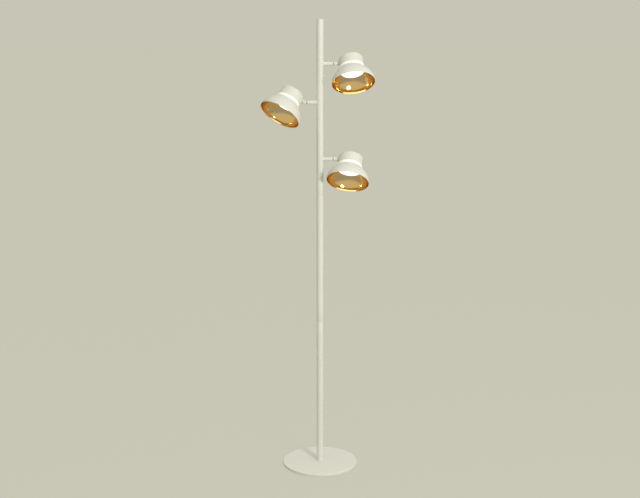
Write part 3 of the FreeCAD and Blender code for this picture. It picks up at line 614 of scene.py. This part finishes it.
class FLOORLAMP_OT_bowls(bpy.types.Operator):
    """Spun outer bowls: a straight neck, then a dome out to the mouth"""
    bl_idname = "floor_lamp.bowls"
    bl_label = "Bowls"

    def execute(self, context):
        wall = sizes().bowl_wall
        spigot_step = 1.7 * MM
        neck_soft = 0.35 * MM
        # the rim is half an ellipse across the wall, raised so that its lowest point is the mouth
        rim_flatness = 0.6
        rim_rise = rim_flatness * wall / 2
        for name in HEAD_NAMES:
            place = HeadPlace(name)
            ring_radius, _, _ = place.measure("light_ring")
            mouth, depth, top = place.measure("outer_bowl")
            neck = top - NECK_LENGTH
            spigot = ring_radius - spigot_step
            outer = dome(ring_radius, neck, mouth, depth, 0, 48)
            inner = dome(ring_radius, neck, mouth, depth, wall, 48)[::-1]
            rim_angle = np.linspace(0, math.pi, 7)[1:-1, None]
            rim_middle = (outer[-1] + inner[0]) / 2
            half_turn = np.concatenate([np.cos(rim_angle), -np.sin(rim_angle) * rim_flatness], 1)
            rim = rim_middle + half_turn * wall / 2
            rim[:, 1] += rim_rise
            outer[-1, 1] += rim_rise
            inner[0, 1] += rim_rise
            neck_corners = rounded([(spigot, inner[-1, 1], 0), (spigot, top, 0),
                                    (ring_radius, top, neck_soft), (ring_radius, neck, 0)], 4)[:-1]
            profile = np.concatenate([outer, rim, inner, neck_corners])
            piece = lathe(name + "_spun_bowl", profile, place.to_lamp)
            seat(piece, name + "_head", "white_shell_coat", "powder_coated_steel", name + "_outer_bowl")
        return {"FINISHED"}


class FLOORLAMP_OT_reflectors(bpy.types.Operator):
    """Gold liners that follow the bowls' inside"""
    bl_idname = "floor_lamp.reflectors"
    bl_label = "Reflectors"

    def execute(self, context):
        gap = 0.3 * MM
        sheet = 0.8 * MM
        collar = 38.3 * MM
        inset = sizes().bowl_wall + gap
        for name in HEAD_NAMES:
            place = HeadPlace(name)
            ring_radius, _, _ = place.measure("light_ring")
            mouth, _, bowl_top = place.measure("outer_bowl")
            _, depth, _ = place.measure("reflector")
            neck = bowl_top - NECK_LENGTH
            outer = dome(ring_radius, neck, mouth, depth, inset, 64)
            inner = dome(ring_radius, neck, mouth, depth, inset + sheet, 64)[::-1]
            ends = np.array([[collar, inner[-1, 1]], [collar, outer[0, 1]]])
            profile = np.concatenate([outer, inner, ends])
            piece = lathe(name + "_gold_liner", profile, place.to_lamp)
            seat(piece, name + "_head", "gold_reflector", "gold_anodised_aluminium", name + "_reflector")
        return {"FINISHED"}


class FLOORLAMP_OT_lamps(bpy.types.Operator):
    """Lit covers of the flat round lamps: part of a sphere, for a slight crown"""
    bl_idname = "floor_lamp.lamps"
    bl_label = "Lamps"

    def execute(self, context):
        for name in HEAD_NAMES:
            place = HeadPlace(name)
            _, face, _ = place.measure("lamp_body")
            cover_radius, crown, seat_height = place.measure("lamp_cover")
            crown_depth = face - crown
            sphere = (cover_radius ** 2 + crown_depth ** 2) / (2 * crown_depth)
            across = np.linspace(0, cover_radius, 24)
            height = crown - np.sqrt(sphere ** 2 - across ** 2) + sphere
            front = np.stack([across, height], axis=1)
            back = np.array([[cover_radius, seat_height], [0, seat_height]])
            piece = lathe(name + "_lit_cover", np.concatenate([front, back]), place.to_lamp, closed=False)
            seat(piece, name + "_head", "frosted_acrylic", "lit_cover_acrylic", name + "_lamp_cover")
        return {"FINISHED"}


class FLOORLAMP_OT_fittings(bpy.types.Operator):
    """Finishes for the pieces whose shape comes from the model as it is

    Two differ from the record's slots: the hinge screws are coated, not zinc, and the
    forks' necks and shanks are plain zinc, not coated. The zinc necks read dark, partly as
    painted shade for the gap between arm and fork.
    """
    bl_idname = "floor_lamp.fittings"
    bl_label = "Fittings"

    def execute(self, context):
        finish_of_slot = {
            "white_powder_coat": "powder_coated_steel",
            "white_shell_coat": "powder_coated_steel",
            "gold_reflector": "gold_anodised_aluminium",
            "frosted_acrylic": "lit_cover_acrylic",
            "lamp_plastic": "moulded_white_plastic",
            "white_thermoplastic": "moulded_white_plastic",
            "nylon": "moulded_white_plastic",
            "cable_sheath": "moulded_white_plastic",
            "zinc_steel": "zinc_plated_steel",
            "black_rubber": "moulded_black_rubber",
            "pad_foam": "moulded_black_rubber",
        }
        for entry in frame["record"]["subparts"]:
            for slot in frame["nodes"][entry["node"]].material_slots:
                slot.material = material(finish_of_slot[entry["material_slot"]])
        for name in HEAD_NAMES:
            # the zinc necks stand partly as painted shade in the gap between arm and fork
            self.zinc_neck_as_shade(name)
            for slot in frame["nodes"][name + "_hinge_screw"].material_slots:
                slot.material = material("powder_coated_steel")
        return {"FINISHED"}

    def zinc_neck_as_shade(self, name):
        """Plated finish on the fork's faces whose middle lies nearer the pole than its cheeks, partly a painted
        shade, so that the gap between arm and fork reads dark.
        """
        cheek_length = 12.5 * MM
        margin = 0.05 * MM
        data = frame["nodes"][name + "_swivel_fork"].data
        data.materials.append(material("zinc_plated_steel"))
        centres = np.zeros(len(data.polygons) * 3, np.float32)
        data.polygons.foreach_get("center", centres)
        reach = np.abs(centres.reshape(-1, 3)[:, 0])
        far_end = np.abs(node_points(name + "_swivel_fork")[:, 0]).max()
        # faces of the neck, given zinc partly as painted shade for the gap
        neck_shade_faces = reach < far_end - (cheek_length + margin)
        data.polygons.foreach_set("material_index", neck_shade_faces.astype(np.int32))


# ---- stage -------------------------------------------------------------------------------

# camera: metres, degrees below level, focal length in the picture's pixels, sensor in mm
CAMERA_DISTANCE = 3.961
CAMERA_HEIGHT = 1.6
CAMERA_PITCH = 11.39
FOCAL_PIXELS = 1142.0
IMAGE_WIDTH = 640.0
SENSOR_WIDTH = 36.0

# softbox: metres, watts
KEY_PLACE = (1.6, -3.0, 2.06)
KEY_AIM = (0, 0, 1.1)
KEY_WIDTH = 0.9
KEY_WATTS = 63.0
KEY_COLOUR = "#FFFDF6"

# light from all round: from the left and from the right, and what the top adds
LEFT_LEVEL, RIGHT_LEVEL = 0.38, 0.54
TOP_LEVEL = 0.45
SIDE_COLOUR, TOP_COLOUR = "#F4F6F4", "#F8F8EA"

# background: its level to the camera on floor and wall, its level in mirrors, and the
# share of real light on the floor, which carries the shadow
FLOOR_LEVEL, WALL_LEVEL = 1.03, 0.995
MIRROR_LEVEL = 1.15
SHADOW_SHARE = 0.12

# floor in mirrors: it cools between the first two places along Y, and fades out between the others
COOLS_FROM, COOLS_TO = -0.6, -1.8
FADES_FROM, FADES_TO = -1.7, -6.0

FLOOR_RADIUS = 60.0
FLOOR_RINGS = 24
FLOOR_SEGMENTS = 64


def backdrop_material(name):
    """Matt backdrop paper, flat to the camera, with an invented studio floor in reflections.

    The camera sees the background's colour. A share of real light stays in it, so that
    the object's shadow stays. Glossy rays see a dim floor below the lamp, a cooler one
    further forward, and the wall's colour in the distance. All other rays see matt paper.
    """
    material, tree = new_material(name)
    colour = colours().background
    path = add_node(tree, "ShaderNodeLightPath")
    place = add_node(tree, "ShaderNodeTexCoord").outputs["Object"]
    forward = add_node(tree, "ShaderNodeSeparateXYZ", links={0: place}).outputs["Y"]
    cool = add_node(tree, "ShaderNodeMapRange", {"From Min": COOLS_FROM, "From Max": COOLS_TO},
                    {"Value": forward}, interpolation_type="SMOOTHSTEP")
    distant = add_node(tree, "ShaderNodeMapRange", {"From Min": FADES_FROM, "From Max": FADES_TO},
                       {"Value": forward}, interpolation_type="SMOOTHSTEP")
    near = add_node(tree, "ShaderNodeMix", {"A": colours().floor_below, "B": colours().floor_forward},
                    {"Factor": cool.outputs["Result"]}, data_type="RGBA").outputs["Result"]
    studio = add_node(tree, "ShaderNodeMix", {"B": colour},
                      {"Factor": distant.outputs["Result"], "A": near}, data_type="RGBA").outputs["Result"]
    seen = add_node(tree, "ShaderNodeEmission", {"Strength": MIRROR_LEVEL}, {"Color": studio})
    paper = add_node(tree, "ShaderNodeBsdfDiffuse", {"Color": colour})
    flat = add_node(tree, "ShaderNodeEmission", {"Color": colour, "Strength": FLOOR_LEVEL})
    view = add_node(tree, "ShaderNodeMixShader", {"Fac": SHADOW_SHARE},
                    {1: flat.outputs[0], 2: paper.outputs[0]})
    mirror = add_node(tree, "ShaderNodeMixShader", links={"Fac": path.outputs["Is Glossy Ray"],
                                                          1: paper.outputs[0], 2: seen.outputs[0]})
    shader = add_node(tree, "ShaderNodeMixShader", links={"Fac": path.outputs["Is Camera Ray"],
                                                          1: mirror.outputs[0], 2: view.outputs[0]})
    finish_material(tree, shader)
    return material


class FLOORLAMP_OT_stage(bpy.types.Operator):
    """Floor, light and camera"""
    bl_idname = "floor_lamp.stage"
    bl_label = "Stage"

    def execute(self, context):
        self.floor()
        self.world(context)
        self.key_light(context)
        self.camera(context)
        context.scene.view_settings.view_transform = "Standard"
        return {"FINISHED"}

    def floor(self):
        """Floor as a disc of rings, whose radius grows with the square of the step."""
        segments = FLOOR_SEGMENTS
        radius = FLOOR_RADIUS * np.linspace(0, 1, FLOOR_RINGS)[1:] ** 2
        angle = np.arange(segments) * 2 * math.pi / segments
        ring = np.stack([np.cos(angle), np.sin(angle), np.zeros(segments)], axis=1)
        points = np.concatenate([(radius[:, None, None] * ring).reshape(-1, 3), [[0, 0, 0]]])
        faces = grid_faces(len(radius), segments, False)[:, ::-1].tolist()
        step = np.arange(segments)
        faces += np.stack([step, (step + 1) % segments, np.full(segments, len(points) - 1)], 1).tolist()
        data = bpy.data.meshes.new("floor")
        data.from_pydata(points.tolist(), [], faces)
        floor = bpy.data.objects.new("floor", data)
        bpy.context.scene.collection.objects.link(floor)
        data.materials.append(backdrop_material("matt_backdrop_paper"))

    def world(self, context):
        """Soft light all round, weaker from the left and stronger and warmer from above.

        The camera sees the wall's colour, and glossy rays see it a little brighter.
        """
        world = bpy.data.worlds.new("studio")
        context.scene.world = world
        world.use_nodes = True
        tree = world.node_tree
        tree.nodes.clear()
        path = add_node(tree, "ShaderNodeLightPath")
        strength = add_node(tree, "ShaderNodeMapRange", {"To Min": WALL_LEVEL, "To Max": MIRROR_LEVEL},
                            {"Value": path.outputs["Is Glossy Ray"]})
        wall = add_node(tree, "ShaderNodeBackground", {"Color": colours().background},
                        {"Strength": strength.outputs["Result"]})
        direction = add_node(tree, "ShaderNodeSeparateXYZ",
                             links={0: add_node(tree, "ShaderNodeTexCoord").outputs["Generated"]})
        level = add_node(tree, "ShaderNodeMapRange",
                         {"From Min": -1.0, "From Max": 0.6, "To Min": LEFT_LEVEL, "To Max": RIGHT_LEVEL},
                         {"Value": direction.outputs["X"]})
        above = add_node(tree, "ShaderNodeMapRange", {"From Min": 0.3, "From Max": 0.9},
                         {"Value": direction.outputs["Z"]})
        total = add_node(tree, "ShaderNodeMath", {1: TOP_LEVEL},
                         {0: above.outputs["Result"], 2: level.outputs["Result"]}, operation="MULTIPLY_ADD")
        tint = add_node(tree, "ShaderNodeMix", {"A": linear(SIDE_COLOUR), "B": linear(TOP_COLOUR)},
                        {"Factor": above.outputs["Result"]}, data_type="RGBA")
        around = add_node(tree, "ShaderNodeBackground",
                          links={"Color": tint.outputs["Result"], "Strength": total.outputs[0]})
        seen = add_node(tree, "ShaderNodeMath", links={0: path.outputs["Is Camera Ray"],
                                                       1: path.outputs["Is Glossy Ray"]},
                        operation="MAXIMUM")
        mix = add_node(tree, "ShaderNodeMixShader", links={"Fac": seen.outputs[0],
                                                           1: around.outputs[0], 2: wall.outputs[0]})
        add_node(tree, "ShaderNodeOutputWorld", links={"Surface": mix.outputs[0]})

    def key_light(self, context):
        """One round softbox at the front right, above the pole's top, turned to its aim."""
        data = bpy.data.lights.new("key_softbox", "AREA")
        data.shape = "DISK"
        data.size = KEY_WIDTH
        data.energy = KEY_WATTS
        data.color = linear(KEY_COLOUR)[:3]
        light = bpy.data.objects.new("key_softbox", data)
        light.location = KEY_PLACE
        back = unit(np.array(KEY_PLACE) - np.array(KEY_AIM))
        light.rotation_mode = "QUATERNION"
        light.rotation_quaternion = Vector(back).to_track_quat("Z", "Y")
        context.scene.collection.objects.link(light)

    def camera(self, context):
        """Camera in front at the pole top's height, looking a little down."""
        data = bpy.data.cameras.new("camera")
        data.sensor_fit = "HORIZONTAL"
        data.sensor_width = SENSOR_WIDTH
        data.lens = SENSOR_WIDTH * FOCAL_PIXELS / IMAGE_WIDTH
        data.clip_end = 200.0
        camera = bpy.data.objects.new("camera", data)
        camera.location = (0, -CAMERA_DISTANCE, CAMERA_HEIGHT)
        camera.rotation_euler = (math.radians(90 - CAMERA_PITCH), 0, 0)
        context.scene.collection.objects.link(camera)
        context.scene.camera = camera


# ---- add-on --------------------------------------------------------------------------------

OPERATORS = (FLOORLAMP_OT_fittings, FLOORLAMP_OT_pole, FLOORLAMP_OT_arms, FLOORLAMP_OT_caps,
             FLOORLAMP_OT_rings, FLOORLAMP_OT_bowls, FLOORLAMP_OT_reflectors, FLOORLAMP_OT_lamps,
             FLOORLAMP_OT_stage)


class FLOORLAMP_PT_panel(bpy.types.Panel):
    """Lists the sizes and colours, and a button for each group of pieces"""
    bl_idname = "FLOORLAMP_PT_panel"
    bl_label = "Floor lamp"
    bl_space_type = "VIEW_3D"
    bl_region_type = "UI"
    bl_category = "Floor lamp"

    def draw(self, context):
        for group in (context.scene.floor_lamp_sizes, context.scene.floor_lamp_colours):
            for name in group.bl_rna.properties.keys():
                if name not in ("rna_type", "name"):
                    self.layout.prop(group, name)
        for operator in OPERATORS:
            self.layout.operator(operator.bl_idname)


CLASSES = (FloorLampColours, FloorLampSizes, *OPERATORS, FLOORLAMP_PT_panel)


def register():
    for item in CLASSES:
        bpy.utils.register_class(item)
    bpy.types.Scene.floor_lamp_colours = PointerProperty(type=FloorLampColours)
    bpy.types.Scene.floor_lamp_sizes = PointerProperty(type=FloorLampSizes)


def unregister():
    del bpy.types.Scene.floor_lamp_sizes
    del bpy.types.Scene.floor_lamp_colours
    for item in reversed(CLASSES):
        bpy.utils.unregister_class(item)


def main():
    register()
    bpy.ops.floor_lamp.fittings()
    bpy.ops.floor_lamp.pole()
    bpy.ops.floor_lamp.arms()
    bpy.ops.floor_lamp.caps()
    bpy.ops.floor_lamp.rings()
    bpy.ops.floor_lamp.bowls()
    bpy.ops.floor_lamp.reflectors()
    bpy.ops.floor_lamp.lamps()
    bpy.ops.floor_lamp.stage()


if __name__ == "__main__":
    main()
